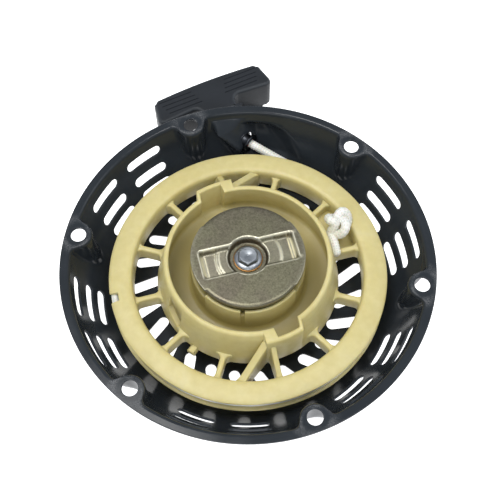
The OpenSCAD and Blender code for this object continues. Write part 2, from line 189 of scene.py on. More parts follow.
def make_piece(mesh, material, body, replaces):
    """An object of the mesh's name that moves with a body and stands in for CAD nodes."""
    obj = new_object(mesh.name, mesh)
    mesh.materials.append(material)
    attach(obj, body)
    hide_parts(*replaces)
    return obj


class Skin:
    """Collects rings of points with their normals, and numbers them."""

    def __init__(self, points, normals):
        self.points, self.normals = list(points), list(normals)

    def ring(self, points, normals):
        """Adds a ring, and returns its point numbers."""
        start = sum(len(p) for p in self.points)
        self.points.append(points)
        self.normals.append(normals)
        return range(start, start + len(points))


class Parts:
    """Collects closed shells that together are one moulded piece."""

    def __init__(self):
        self.points, self.faces, self.count = [], [], 0

    def add(self, points, faces):
        self.points.append(np.asarray(points, float))
        self.faces += [tuple(i + self.count for i in f) for f in faces]
        self.count += len(points)

    def mesh(self, name):
        return make_mesh(name, np.concatenate(self.points), self.faces)


def joined(chains):
    """Quads between closed chains of point numbers, all of one length."""
    return [(a[j - 1], a[j], b[j], b[j - 1]) for a, b in zip(chains[:-1], chains[1:]) for j in range(len(a))]


def stacked(rings):
    """A closed shell through rings of equal length, with a flat cap at each end."""
    n = len(rings[0])
    chains = [range(i * n, (i + 1) * n) for i in range(len(rings))]
    return np.concatenate(rings), joined(chains) + [tuple(chains[0]), tuple(chains[-1])]


def ring_solid(columns):
    """A ring whose section is columns[i] at the i-th angle: an array of angles by points by 3."""
    n, m = columns.shape[:2]
    chains = [range(i * m, (i + 1) * m) for i in range(n)]
    return columns.reshape(-1, 3), joined(chains + chains[:1])


def turned_section(section, angles):
    """Columns of a round part: section is (r, z) points, or one set of them for each angle."""
    section = np.asarray(section, float)
    if section.ndim == 2:
        section = np.repeat(section[None], len(angles), 0)
    return cylindrical(section[..., 0], angles[:, None], section[..., 1])


def lathe(section, steps=96):
    return ring_solid(turned_section(section, np.arange(steps) * 360 / steps))


def extruded(outline, z0, z1, edge, steps):
    """Rings of an extruded outline with rounded edges, and how far each ring faces up."""
    turns = np.linspace(0, math.pi / 2, steps + 1)
    levels = [(-edge * (1 - math.sin(t)), z0 + edge * (1 - math.cos(t)), -math.cos(t)) for t in turns]
    levels += [(-edge * (1 - math.cos(t)), z1 - edge * (1 - math.sin(t)), math.sin(t)) for t in turns]
    rings = [np.column_stack([grown(outline, g), np.full(len(outline), z)]) for g, z, _ in levels]
    return rings, [up for _, _, up in levels]


def prism(outline, z0, z1, edge, steps=3):
    rings, _ = extruded(outline, z0, z1, edge, steps)
    return stacked(rings)


def triangulated(grid, loops, spacing, border=None):
    """Triangles of a flat sheet over the grid's points, open inside each loop and ending at the border.

    Returns the sheet's points, its triangles, and each loop's point numbers, the border's last."""
    keep = np.ones(len(grid), bool)
    if border is not None:
        keep = inside(grid, border)
        near = np.where(keep)[0]
        gap = np.concatenate([np.linalg.norm(part[:, None] - border[None], axis=-1).min(1)
                              for part in np.array_split(grid[near], 1 + len(near) // 4000)])
        keep[near[gap < 0.55 * spacing]] = False
    for loop in loops:
        low, high = loop.min(0) - 2 * spacing, loop.max(0) + 2 * spacing
        near = np.where(np.all((grid > low) & (grid < high), -1))[0]
        if len(near):
            gap = np.linalg.norm(grid[near][:, None] - loop[None], axis=-1).min(1)
            keep[near[(gap < 0.55 * spacing) | inside(grid[near], loop)]] = False
    chains = list(loops) + ([] if border is None else [border])
    points = np.concatenate([grid[keep]] + chains)
    edges, starts, at = [], [], int(keep.sum())
    for loop in chains:
        n = len(loop)
        starts.append(at)
        edges += [(at + j, at + (j + 1) % n) for j in range(n)]
        at += n
    found = geometry.delaunay_2d_cdt([Vector(p) for p in points], edges, [], 0, 1e-5, True)
    flat = np.array([list(v) for v in found[0]])
    triangles = np.array(found[2])
    number = {}
    for new, old in enumerate(found[3]):
        for o in old:
            number[o] = new
    middle = flat[triangles].mean(1)
    solid = np.ones(len(triangles), bool)
    for loop in loops:
        low, high = loop.min(0), loop.max(0)
        near = np.where(np.all((middle > low) & (middle < high), -1))[0]
        solid[near[inside(middle[near], loop)]] = False
    if border is not None:
        solid &= inside(middle, border)
    rings = [[number[s + j] for j in range(len(loop))] for s, loop in zip(starts, chains)]
    return flat, triangles[solid], rings


# ---- materials

class Surface:
    """A material whose signals, each a node's output, end in one shader."""

    def __init__(self, name):
        self.material = bpy.data.materials.new(name)
        self.material.use_nodes = True
        self.tree = self.material.node_tree
        self.shader = self.tree.nodes["Principled BSDF"]

    def put(self, socket, value):
        """Feeds a socket from a signal, or sets it to a constant."""
        if isinstance(value, bpy.types.NodeSocket):
            self.tree.links.new(value, socket)
        else:
            socket.default_value = value

    def set(self, **inputs):
        """Feeds or sets the shader's inputs, whose names have underscores for spaces."""
        for name, value in inputs.items():
            self.put(self.shader.inputs[name.replace("_", " ")], value)

    def noise(self, scale, detail, roughness=0.5, distortion=0.0):
        """Noise in the frame's coordinates, which ride with the piece."""
        place = self.tree.nodes.new("ShaderNodeTexCoord")
        node = self.tree.nodes.new("ShaderNodeTexNoise")
        self.put(node.inputs["Vector"], place.outputs["Object"])
        inputs = {"Scale": scale, "Detail": detail, "Roughness": roughness, "Distortion": distortion}
        for name, value in inputs.items():
            self.put(node.inputs[name], value)
        return node.outputs["Fac"]

    def ramp(self, source, *stops):
        """Colours, or greys as single numbers, along a 0 to 1 signal."""
        node = self.tree.nodes.new("ShaderNodeValToRGB")
        self.put(node.inputs["Fac"], source)
        while len(node.color_ramp.elements) < len(stops):
            node.color_ramp.elements.new(0.5)
        for element, (place, colour) in zip(node.color_ramp.elements, stops):
            element.position = place
            element.color = (*colour, 1) if isinstance(colour, tuple) else (colour, colour, colour, 1)
        return node.outputs["Color"]

    def mixed(self, amount, a, b, kind="MIX"):
        """Colour a mixed with colour b; b is a signal or three numbers."""
        node = self.tree.nodes.new("ShaderNodeMix")
        node.data_type = "RGBA"
        node.blend_type = kind
        self.put(node.inputs[0], amount)
        self.put(node.inputs[6], a)
        self.put(node.inputs[7], (*b, 1) if isinstance(b, tuple) else b)
        return node.outputs[2]

    def times(self, a, b):
        return self.mixed(1.0, a, b, "MULTIPLY")

    def attribute(self, name):
        node = self.tree.nodes.new("ShaderNodeAttribute")
        node.attribute_name = name
        return node.outputs["Fac"]

    def bumped(self, *layers):
        """Bump from several height signals: (signal, strength, depth in metres)."""
        last = None
        for height, strength, depth in layers:
            node = self.tree.nodes.new("ShaderNodeBump")
            for name, value in (("Strength", strength), ("Distance", depth), ("Height", height)):
                self.put(node.inputs[name], value)
            if last:
                self.put(node.inputs["Normal"], last)
            last = node.outputs["Normal"]
        self.set(Normal=last)


def gloss_black():
    """Black stoving enamel: glossy, and scuffed to a grey speckle on the bolt pads."""
    look = Surface("gloss_black_enamel")
    tone = look.noise(60, 3)
    enamel = look.ramp(tone, (0.3, (0.0185, 0.0225, 0.027)), (0.7, (0.0235, 0.028, 0.0335)))
    dust = look.ramp(look.noise(1500, 6, 0.8), (0.42, 0.0), (0.60, 1.0))
    area = look.ramp(look.noise(120, 2), (0.38, 0.25), (0.62, 1.0))
    scuff = look.times(look.times(dust, area), look.attribute("scuff"))
    look.set(Base_Color=look.mixed(scuff, enamel, (0.15, 0.153, 0.158)), IOR=1.33)
    look.set(Roughness=look.ramp(tone, (0.3, 0.11), (0.75, 0.19)))
    look.bumped((look.noise(300, 1.0), 0.05, 0.0003), (scuff, 0.25, 0.0001))
    return look.material


def cream_nylon():
    """Natural nylon: cream, slightly translucent, with faint flow marks, and painted shade low in the drum.
    """
    look = Surface("cream_nylon")
    flow = look.noise(38, 4, distortion=1.2)
    base = look.ramp(
        flow, (0.3, (0.60, 0.515, 0.22)), (0.55, (0.64, 0.56, 0.26)), (0.8, (0.635, 0.565, 0.29)))
    mottle = look.ramp(look.noise(260, 3), (0.35, (0.94, 0.93, 0.90)), (0.7, (1.0, 1.0, 1.0)))
    # Painted shade: the base colour is darkened towards brown where the mesh marks cavities down in the drum
    # and under the plate.
    look.set(Base_Color=look.mixed(look.attribute("painted_cavity_shade"), look.times(base, mottle), (0.34, 0.28, 0.10)))
    look.set(Subsurface_Weight=0.3, Subsurface_Radius=(1.0, 0.75, 0.3), Subsurface_Scale=0.002)
    grain = look.noise(900, 3)
    look.set(Roughness=look.ramp(grain, (0.3, 0.36), (0.7, 0.5)))
    look.bumped((grain, 0.12, 0.0002), (flow, 0.2, 0.0006))
    return look.material


def zinc_plate(name, dark, light, edge):
    """Passivated zinc over rolled steel: fine speckle, and brighter on edges, partly real wear and partly
    painted highlight.
    """
    look = Surface(name)
    speckle, cloud = look.noise(1100, 5, 0.75), look.noise(70, 3)
    fine = look.ramp(speckle, (0.36, dark), (0.62, light))
    stain = look.ramp(cloud, (0.35, (0.86, 0.82, 0.84)), (0.65, (1.0, 1.02, 0.94)))
    # The pale edge colour paints highlights on lips, channel steps and the rim, as well as bare wear.
    look.set(Base_Color=look.mixed(look.attribute("wear_and_highlight"), look.times(fine, stain), edge), Metallic=0.9)
    look.set(Roughness=look.ramp(speckle, (0.3, 0.3), (0.7, 0.46)))
    look.bumped((speckle, 0.3, 0.00012), (cloud, 0.15, 0.0003))
    return look.material


def steel(name, colour, roughness):
    """Bare or plated steel with a fine grain."""
    look = Surface(name)
    marks = look.noise(700, 5, 0.7)
    darker = tuple(0.82 * c for c in colour)
    look.set(Base_Color=look.ramp(marks, (0.32, darker), (0.62, colour)), Metallic=1.0)
    look.set(Roughness=look.ramp(marks, (0.3, 0.7 * roughness), (0.7, 1.25 * roughness)))
    look.bumped((marks, 0.07, 0.0001))
    return look.material


def handle_plastic():
    """Dark grey moulded plastic with a fine spark-eroded grain."""
    look = Surface("handle_plastic")
    base = look.ramp(look.noise(60, 3), (0.3, (0.013, 0.0155, 0.019)), (0.7, (0.018, 0.021, 0.026)))
    # Upper rounded edges are lighter: partly rubbed wear, partly painted highlight.
    look.set(Base_Color=look.mixed(look.attribute("wear_and_highlight"), base, (0.10, 0.11, 0.12)), IOR=1.35)
    grain = look.noise(1800, 4)
    look.set(Roughness=look.ramp(grain, (0.3, 0.42), (0.7, 0.6)))
    look.bumped((grain, 0.25, 0.00012))
    return look.material


def rope_yarn():
    """White braided nylon, with painted shade between the strands of the plait."""
    look = Surface("rope_yarn")
    fibre = look.noise(2600, 3)
    base = look.ramp(fibre, (0.3, (0.74, 0.73, 0.66)), (0.6, (0.93, 0.93, 0.89)))
    soil = look.ramp(look.noise(150, 2), (0.35, (0.90, 0.89, 0.83)), (0.6, (1.0, 1.0, 1.0)))
    look.set(Base_Color=look.mixed(look.attribute("gap"), look.times(base, soil), (0.58, 0.57, 0.50)))
    look.set(Roughness=0.38, Sheen_Weight=0.25, Subsurface_Weight=0.1, Subsurface_Scale=0.001)
    look.bumped((fibre, 0.4, 0.00015))
    return look.material


BLACK = gloss_black()
NYLON = cream_nylon()
PLATE = zinc_plate("yellow_zinc", (0.128, 0.117, 0.082), (0.225, 0.21, 0.152), (1.0, 0.95, 0.74))
BRIGHT = steel("bright_zinc", (0.30, 0.32, 0.345), 0.36)
GREY_STEEL = steel("grey_zinc", (0.52, 0.53, 0.55), 0.34)
SPRING_STEEL = steel("spring_steel", (0.20, 0.205, 0.22), 0.3)
DARK_STEEL = steel("dark_steel", (0.045, 0.048, 0.055), 0.34)
COPPER = steel("copper_washer", (0.33, 0.17, 0.06), 0.36)
GRIP = handle_plastic()
YARN = rope_yarn()


# ---- housing

SHEET = 1.6
EDGE = 0.45                     # radius of the sheet's cut edges
FLANGE_R = 102.6
WALL_R, WALL_CENTRE = 88.0, (12.1, 20.9)
HEEL_R, HEEL_CENTRE = 5.0, (72.05, -36.5)
FLOOR_Z = -41.5
ROLL = 2.4                      # reach of the bend between the flange and the wall
ROLL_TURN = math.degrees(math.asin((WALL_CENTRE[1] + ROLL) / WALL_R))
HEEL_TURN = math.degrees(math.asin((WALL_CENTRE[1] - HEEL_CENTRE[1]) / (WALL_R - HEEL_R)))
HOLE_R, HOLE_CIRCLE_R = 4.2, 95.0
CENTRE_R = 5.0
EYELET = np.array([-14.4, 89.0, -20.0])
EYELET_TURN = 150.0

# Lengths along the section: flange, bend, wall, heel and back plate
V_ROLL = 10.0
V_WALL = 15.0
V_HEEL = V_WALL + WALL_R * math.radians(HEEL_TURN - ROLL_TURN)
V_PLATE = V_HEEL + HEEL_R * math.radians(90 - HEEL_TURN)
V_END = V_PLATE + HEEL_CENTRE[0] - CENTRE_R

PAD_SIDE = np.concatenate([
    arc((95.3, 0), 8, 180, 110, 10), [[95.4, 9], [98.5, 11.6], [101.5, 16], [112, 24]]])
FAR = 150                       # a radius outside the housing
POCKET_TOP = [(-31, 81.5), (-17, 94.5), (-39, 92)]     # corner, eyelet side, pad side
POCKET_FOOT = [(-18.9, 81.2), (-10.9, 95.1), (-38, 90)]
POCKET_EDGE_Z = (-8.4, -3.6)
POCKET_FOOT_Z = -20.0


def wall_z(v):
    return WALL_CENTRE[1] - WALL_R * np.sin(np.radians(ROLL_TURN) + (v - V_WALL) / WALL_R)


def wall_v(z):
    return V_WALL + WALL_R * (np.arcsin((WALL_CENTRE[1] - z) / WALL_R) - math.radians(ROLL_TURN))


def pad_reach(theta):
    """Radius at which a bolt pad's side stands, in direction theta."""
    return np.interp(np.abs(nearest(theta, 60)), *polar_of(PAD_SIDE), right=FAR)


def line_reach(theta, a, b):
    """Radius at which a line in plan is met in direction theta; a and b may vary from point to point."""
    d = b - a
    c, s = np.cos(np.radians(theta)), np.sin(np.radians(theta))
    across = c * d[..., 1] - s * d[..., 0]
    across = np.where(np.abs(across) < 1e-6, 1e-6, across)
    return (a[..., 0] * d[..., 1] - a[..., 1] * d[..., 0]) / across


def pocket_reach(theta, z):
    """Radius of the three-cornered pocket that carries the rope eyelet."""
    share = np.clip((POCKET_EDGE_Z[0] - z) / (POCKET_EDGE_Z[0] - POCKET_FOOT_Z), 0, 1)[..., None]
    corner, right, left = (
        np.array(t) * (1 - share) + np.array(f) * share for t, f in zip(POCKET_TOP, POCKET_FOOT))
    face, flank = line_reach(theta, corner, right), line_reach(theta, corner, left)
    reach = soft_max(np.where(face > 0, face, FAR), np.where(flank > 0, flank, FAR), 3.0)
    return np.where((theta > 80) & (theta < 125), np.minimum(reach, FAR), FAR)


def wall_reach(theta, z):
    """Inside radius of the bowl's wall, with its pads, rope pocket and the bay beside it."""
    theta = theta % 360
    plain = WALL_CENTRE[0] + np.sqrt(WALL_R ** 2 - (z - WALL_CENTRE[1]) ** 2)
    bay_right = np.interp(z, [-26, -9], [75.0, 85.0])
    bay_turn = step(theta, bay_right, bay_right + 12) * (1 - step(theta, 99, 106))
    bay = 5.4 * bay_turn * step(-z, 6.0, 13.0) * (1 - step(-z, 26.0, 32.0))
    reach = plain + bay
    pocket = pocket_reach(theta, z)
    slope = np.clip((POCKET_EDGE_Z[1] - z) / (POCKET_EDGE_Z[1] - POCKET_EDGE_Z[0]), 0, 1)
    reach = reach + (soft_min(reach, pocket, 2.5) - reach) * slope
    pads = pad_reach(theta) + 0.02 * z
    return soft_min(reach, pads, 2.6)


def bowl_point(theta, v):
    """Point of the housing's inner skin."""
    theta, v = np.broadcast_arrays(np.asarray(theta, float), np.asarray(v, float))
    top, below = (wall_reach(theta, np.full(v.shape, z)) for z in (-ROLL, -ROLL - 0.4))
    flat_end = top + ROLL
    rim = FLANGE_R - EDGE
    # Bend: a cubic from the flange to the top of the wall
    t = np.clip((v - V_ROLL) / (V_WALL - V_ROLL), 0, 1)
    fall = unit(np.stack([below - top, np.full(v.shape, -0.4)], -1))
    pull = 0.6 * ROLL
    weights = [(1 - t) ** 3, 3 * t * (1 - t) ** 2, 3 * t * t * (1 - t), t ** 3]
    bend_r = [flat_end, flat_end - pull, top - pull * fall[..., 0], top]
    bend_z = [0, 0, -ROLL - pull * fall[..., 1], -ROLL]
    z_wall = wall_z(np.clip(v, V_WALL, V_HEEL))
    turn = np.radians(HEEL_TURN) + (v - V_HEEL) / HEEL_R
    r_plate = HEEL_CENTRE[0] - (v - V_PLATE)
    beyond, r, z = zip(
        (v > V_PLATE, r_plate, FLOOR_Z + 1.2 * (1 - step(r_plate, 19.0, 22.0))),
        (v > V_HEEL, HEEL_CENTRE[0] + HEEL_R * np.cos(turn), HEEL_CENTRE[1] - HEEL_R * np.sin(turn)),
        (v > V_WALL, wall_reach(theta, z_wall), z_wall),
        (v > V_ROLL, *(sum(w * q for w, q in zip(weights, bend)) for bend in (bend_r, bend_z))))
    flange = rim + (flat_end - rim) * v / V_ROLL
    return cylindrical(np.select(beyond, r, flange), theta, np.select(beyond, z, 0))


def bowl_normal(theta, v):
    """Normal of the inner skin, towards the engine."""
    dt, dv = 0.03, 0.04
    around = bowl_point(theta + dt, v) - bowl_point(theta - dt, v)
    along = bowl_point(theta, v + dv) - bowl_point(theta, v - dv)
    return unit(np.cross(around, along))


def to_flat(theta, v):
    """The skin laid out flat, with the housing's centre at the origin."""
    return polar(V_END - np.asarray(v) + CENTRE_R, theta)


def from_flat(points):
    theta, rho = polar_of(points)
    return theta % 360, V_END + CENTRE_R - rho


def slot_shape(length, radius, n=9):
    """Outline of a slot with round ends, length between their centres."""
    run = np.linspace(0, 1, max(2, int(length / 2.2)) + 1)[1:-1, None]
    right, left = arc((length / 2, 0), radius, -90, 90, n), arc((-length / 2, 0), radius, 90, 270, n)
    top = right[-1] + (left[0] - right[-1]) * run
    bottom = left[-1] + (right[0] - left[-1]) * run
    return np.concatenate([right, top, left, bottom])


def housing_openings():
    """For each opening, a function from its growth g to the outline's angles and lengths."""
    openings = []
    width, first, last = 5.8, 2.8, 17.2
    for sector in (30, 150, 210, 270, 330):
        for r, z in ((94.7, -10.0), (89.6, -21.2), (84.2, -29.9)):
            for side in (-1, 1):
                centre = sector + side * (first + last) / 2
                length = r * math.radians(last - first) - width

                def wall_slot(g, centre=centre, r=r, z=z, length=length):
                    shape = slot_shape(length, width / 2 + g)
                    return centre + np.degrees(shape[:, 0] / r), wall_v(z) - shape[:, 1]

                openings.append(wall_slot)
    for k in range(24):

        def vent(g, turn=3.6 + 15 * k):
            shape = turned(slot_shape(15.4, 3.1 + g) + [2.5, 0], 28.4) + [57, 0]
            theta, r = polar_of(turned(shape, turn))
            return theta, V_PLATE + HEEL_CENTRE[0] - r

        openings.append(vent)
    for k in range(6):

        def bolt_hole(g, turn=60 * k):
            theta, r = polar_of(turned(circle(HOLE_R + g, 36, (HOLE_CIRCLE_R, 0)), turn))
            rim = FLANGE_R - EDGE
            flat_end = wall_reach(theta, np.full(theta.shape, -ROLL)) + ROLL
            return theta, V_ROLL * (r - rim) / (flat_end - rim)

        openings.append(bolt_hole)

    def eyelet_hole(g):
        ring = circle(4.3 + g, 28)
        theta, _ = polar_of(EYELET[:2] + ring[:, :1] * polar(1, EYELET_TURN + 90))
        return theta, wall_v(EYELET[2] + ring[:, 1])

    openings.append(eyelet_hole)
    return openings


def housing_grid():
    """Points of the flat layout: close together at the pads, the pocket and the bends."""
    pads = 60 * np.arange(6)[:, None]
    fine = np.concatenate([(pads + np.arange(-11, 11.01, 0.55)).ravel(), np.arange(74, 109, 0.6)])
    coarse = (pads + np.arange(12, 48.1, 1.8)).ravel()
    coarse = coarse[(coarse < 73.5) | (coarse > 109)]
    top = np.unique(np.round(np.concatenate([fine, coarse]) % 360, 3))
    rows = [(v, top) for v in np.concatenate([
        np.linspace(0, V_ROLL, 8), np.linspace(V_ROLL, V_WALL, 7)[1:], V_WALL + np.arange(0.5, 9, 0.7),
        np.linspace(V_WALL + 9.4, V_HEEL, 20)])]
    below = [(1.8, np.linspace(V_HEEL, V_PLATE, 6)[1:]), (2.5, np.arange(V_PLATE + 2, V_END - 20, 2.6)),
             (6, np.linspace(V_END - 17, V_END, 8))]
    rows += [(v, np.arange(0, 360, spacing)) for spacing, lengths in below for v in lengths]
    return np.concatenate([to_flat(angles, np.full(angles.shape, v)) for v, angles in rows])


def housing_mesh():
    openings = housing_openings()
    loops = [to_flat(*shape(EDGE)) for shape in openings]
    flat, triangles, rings = triangulated(housing_grid(), loops, 1.6)
    theta, v = from_flat(flat)
    v = np.clip(v, 0, V_END)
    skin, normal = bowl_point(theta, v), bowl_normal(theta, v)
    shell = Skin([skin, skin - SHEET * normal], [normal, -normal])
    n = len(skin)
    faces = [tuple(t) for t in triangles] + [tuple(n + i for i in t[::-1]) for t in triangles]
    turn = EDGE * (1 - math.sqrt(0.5))
    levels = [(turn, turn, 0.5), (0, EDGE, 0), (0, SHEET - EDGE, 0), (turn, SHEET - turn, -0.5)]
    # Walls of the openings, with rounded edges
    for shape, ring in zip(openings, rings):
        inward = unit(bowl_point(*shape(0)) - bowl_point(*shape(EDGE)))
        chain = [ring]
        for growth, depth, lean in levels:
            at, up = bowl_point(*shape(growth)), bowl_normal(*shape(growth))
            chain.append(shell.ring(at - depth * up, unit(inward + 2 * lean * up)))
        faces += joined(chain + [[n + i for i in ring]])
    # Cut edge of the flange, and the hole for the post
    for inner, sign in ((False, 1), (True, -1)):
        edge = np.where(np.abs(v - (V_END if inner else 0)) < 1e-3)[0]
        edge = edge[np.argsort(theta[edge])]
        away = sign * unit(skin[edge] * [1, 1, 0])
        chain = [edge]
        for growth, depth, lean in levels:
            at = skin[edge] + (EDGE - growth) * away - [0, 0, depth]
            chain.append(shell.ring(at, unit(away + [0, 0, 2 * lean])))
        faces += joined(chain + [edge + n])
    points = np.concatenate(shell.points)
    mesh = make_mesh("housing_shell", points, faces, np.concatenate(shell.normals))
    theta, r = polar_of(points)
    from_hole = (polar(r, nearest(theta, 60)) - [HOLE_CIRCLE_R + 1, 0]) * [1, 0.75]
    gap = np.hypot(*from_hole.T)
    on_pad = step(gap, HOLE_R + 0.6, HOLE_R + 2.2) * (1 - step(gap, 7.0, 11.0))
    point_values(mesh, "scuff", on_pad * step(points[:, 2], -0.5, -0.05))
    return mesh


def build_housing():
    make_piece(housing_mesh(), BLACK, "housing", ["starter_housing"])
    section = rounded(
        [(3.1, -2.6), (6.0, -2.6), (6.0, -1.0), (4.38, -1.0),
         (4.38, 2.6), (5.4, 2.6), (5.4, 3.6), (3.1, 3.6)],
        [1.0, 0.7, 0.4, 0.1, 0.1, 0.3, 0.4, 1.2])
    points, faces = lathe(section, 64)
    # The lathe's axis, Z, goes over to the direction in which the rope leaves
    points = np.column_stack([turned(points[:, [2, 1]], EYELET_TURN), -points[:, 0]]) + EYELET
    mesh = make_mesh("eyelet_ring", points, faces)
    make_piece(mesh, DARK_STEEL, "housing", ["rope_eyelet"])


# ---- reel

DRUM_TOP, DRUM_R, DRUM_BORE_R = 2.0, 45.9, 43.0
DRUM_FOOT_R, DRUM_BORE_FOOT_R = 51.5, 48.0
SPRING_WALL_R = (41.6, 43.6)
POCKET_BORE_R, POCKET_WALL_R = 48.6, 51.4
WEB_TOP, WEB_BOTTOM, SKIRT_Z = -21.0, -24.6, -39.5
HUB_R, HUB_TOP, HUB_FLOOR = 31.7, -1.0, -5.4
RING_BORE_R, REEL_R = 64.5, 77.7
SPOKE_TURN, SPOKE_FOOT = 24.34, -26.9

# Directions in which the features stand, in degrees; the first three occur twice
BLOCK, POCKET = (-70.1, -44.4), (-62.4, -45.5)
RIM_GAP = (-26, 52)
HUB_SLOT = (-88, -84)
WALL_WINDOW = (-143, -129.5)
ROPE_NOTCH, NOTCH_R = (-160, -156), 73.1
RIB_TURNS = [(-69.2, -84.6), (-65.66, -65.66)]


def window(theta, a0, a1, soft, soft_end=None):
    """1 between two angles, 0 outside, with soft edges; angles from -180 to 180."""
    theta = (theta + 180) % 360 - 180
    end = (soft_end or soft) / 2
    return step(theta, a0 - soft / 2, a0 + soft / 2) * (1 - step(theta, a1 - end, a1 + end))


def twice(theta, a0, a1, soft, soft_end=None):
    """The same feature on both sides of the reel."""
    return np.maximum(window(theta, a0, a1, soft, soft_end), window(theta + 180, a0, a1, soft, soft_end))


def angles_with(coarse, edges, reach=0.9, fine=0.18):
    """Angles round the reel, close together at the given edges."""
    found = [np.arange(0, 360, coarse)]
    for e in edges:
        found.append((e + np.arange(-reach, reach + 1e-9, fine)) % 360)
    return np.unique(np.round(np.concatenate(found), 3))


def ring_columns():
    """The two rope flanges with the groove between them."""
    angles = angles_with(1.5, ROPE_NOTCH)
    section = rounded([
        (RING_BORE_R, -27), (RING_BORE_R, -14.6), (66.2, -13.0), (70.5, -13.0), (74.5, -13.45),
        (REEL_R, -14.3), (REEL_R, -15.9), (66.5, -16.3), (66.5, -23.8), (REEL_R, -24.2), (REEL_R, -25.8),
        (74.0, -26.2)], [1.2, 2.2, 2.0, 2.0, 1.5, 0.5, 0.5, 1.0, 1.0, 0.4, 0.5, 2.0])
    columns = np.repeat(section[None], len(angles), 0)
    notch = window(angles, *ROPE_NOTCH, 0.5)[:, None]
    r = columns[..., 0]
    top = (columns[..., 1] > -16.2) & (r > NOTCH_R)
    columns[..., 0] = np.where(top, r + (NOTCH_R - r) * notch, r)
    return turned_section(columns, angles)


def drum_columns():
    """Drum, web, hub and the wall round the spring, as one section that changes round the reel."""
    twofold = (BLOCK[0], POCKET[0], -47, POCKET[1], -44.2, -42.8, *RIM_GAP)
    angles = angles_with(1.5, [e + half for half in (0, 180) for e in twofold] + [*HUB_SLOT, -144, -129])
    soft = 1.1
    block, pocket = twice(angles, *BLOCK, soft, 4.4), twice(angles, *POCKET, soft, 4.0)
    rim = HUB_TOP + (HUB_FLOOR + 0.1 - HUB_TOP) * twice(angles, *RIM_GAP, soft)
    rim = rim + (-5 - rim) * window(angles, *HUB_SLOT, 0.7)
    recess = 4.6 * window(angles, *WALL_WINDOW, 0.8)
    tilt = -0.45 * (angles - 223.5)
    sections = []
    for b, p, top, dip, lean in zip(block, pocket, rim, recess, np.where(recess > 0, tilt, 0)):
        outer = DRUM_R + (POCKET_WALL_R - DRUM_R) * b
        inner = DRUM_BORE_R + (POCKET_BORE_R - DRUM_BORE_R) * p
        foot = max(DRUM_FOOT_R, outer)
        low, high = -15.5 + lean, -5.5 + lean

        def flare(z):
            return outer + (foot - outer) * (DRUM_TOP - z) / (DRUM_TOP - WEB_BOTTOM)

        corners = [
            (SPRING_WALL_R[1], SKIRT_Z), (SPRING_WALL_R[1], WEB_BOTTOM), (foot, WEB_BOTTOM),
            (flare(low - 0.6), low - 0.6), (flare(low) - dip, low), (flare(high) - dip, high),
            (flare(high + 0.6), high + 0.6), (outer, DRUM_TOP), (inner, DRUM_TOP),
            (max(DRUM_BORE_FOOT_R, inner), WEB_TOP), (HUB_R, WEB_TOP), (HUB_R, top), (HUB_R - 2, top),
            (HUB_R - 2, HUB_FLOOR), (8.05, HUB_FLOOR), (8.05, WEB_BOTTOM), (SPRING_WALL_R[0], WEB_BOTTOM),
            (SPRING_WALL_R[0], SKIRT_Z)]
        radii = [0.5, 1.5, 0.7, 0.3, 0.3, 0.3, 0.3, 1.1, 0.9, 2.5, 2.5, 0.6, 0.5, 0.8, 0.5, 0.5, 1.5, 0.5]
        sections.append(rounded(corners, radii))
    return turned_section(np.array(sections), angles)


def rib_outline(r0, r1, width, fillet):
    """A spoke that spreads out at both ends."""
    side = width / 2 + fillet
    lower = np.concatenate([
        [[r0 - 2, -side]], arc((r0 + fillet, -side), fillet, 180, 90, 6),
        arc((r1 - fillet, -side), fillet, 90, 0, 6), [[r1 + 1, -side]]])
    return np.concatenate([lower, lower[::-1] * [1, -1]])


def ramp_rib(a, b, width, za, zb):
    """A straight rib with a rounded top that runs down from za to zb."""
    across = turned(unit(b - a), 90)
    half, edge = width / 2, 0.8
    section = np.concatenate([
        [(-half, 0)], arc((-half + edge, 1 - edge), edge, 180, 90, 4),
        arc((half - edge, 1 - edge), edge, 90, 0, 4), [(half, 0)]])
    rings = []
    for t in np.linspace(0, 1, 13):
        top = za + (zb - za) * t
        swell = 1 + 0.5 * max(0, (t - 0.8) / 0.2) ** 2
        z = np.where(section[:, 1] > 0, top - 1 + section[:, 1], SPOKE_FOOT)
        centre = a + (b - a) * t
        rings.append(np.column_stack([centre + swell * section[:, :1] * across, z]))
    return stacked(rings)


def sector_outline(r0, r1, a0, a1):
    return np.concatenate([arc((0, 0), r1, a0, a1, 14), arc((0, 0), r0, a1, a0, 14)])


